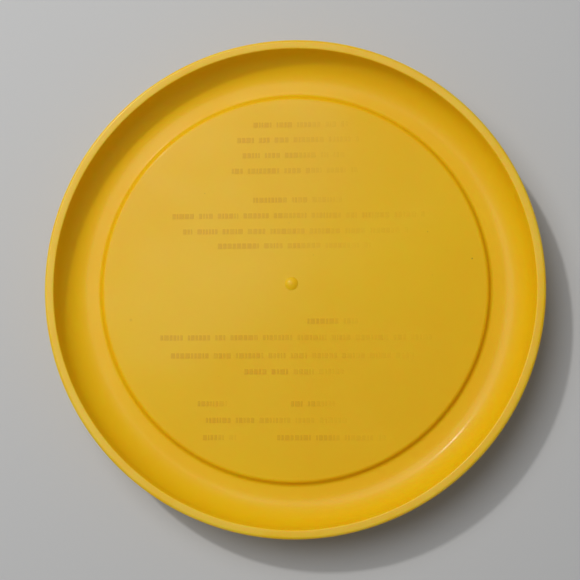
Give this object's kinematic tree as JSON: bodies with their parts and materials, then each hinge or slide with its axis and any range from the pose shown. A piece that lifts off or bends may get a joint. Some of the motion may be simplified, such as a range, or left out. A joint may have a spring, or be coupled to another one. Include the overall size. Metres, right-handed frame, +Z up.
{
  "type": "suction dish",
  "caption": "Shallow round toddler dish with a raised centre, a gutter and a beaded rim, on a twist-off suction base with a pull tab.",
  "frame": {"origin": "on the table under the middle of the dish, with the cup standing free", "axes": "+Z up through the middle of the dish; the release tab points along -Y"},
  "size_m": [0.18, 0.18, 0.0248],
  "materials": {
    "dish_plastic": "gloss moulded polypropylene",
    "base_plastic": "satin moulded polypropylene",
    "cup_rubber": "satin silicone rubber"
  },
  "bodies": {
    "dish": {"dish": "dish_plastic"},
    "base": {"base_disc": "base_plastic", "suction_cup": "cup_rubber", "cup_skirt": "cup_rubber", "cup_button": "base_plastic"},
    "lip": {"cup_lip": "cup_rubber"},
    "tab": {"release_tab": "cup_rubber"}
  },
  "joints": [
    {"name": "base_twist", "type": "hinge", "parent": "dish", "child": "base", "pos_m": [0, 0, 0.0116], "axis": [0, 0, 1], "range_deg": [0, 58]},
    {"name": "cup_press", "type": "slide", "parent": "base", "child": "lip", "axis": [0, 0, 1], "range_m": [0, 0.003], "stiffness_N_per_m": 4000, "deforming": ["cup_skirt"]},
    {"name": "tab_peel", "type": "hinge", "parent": "lip", "child": "tab", "pos_m": [0, -0.07542, 0.00125], "axis": [-1, 0, 0], "range_deg": [0, 50], "stiffness_Nm_per_rad": 0.02}
  ]
}
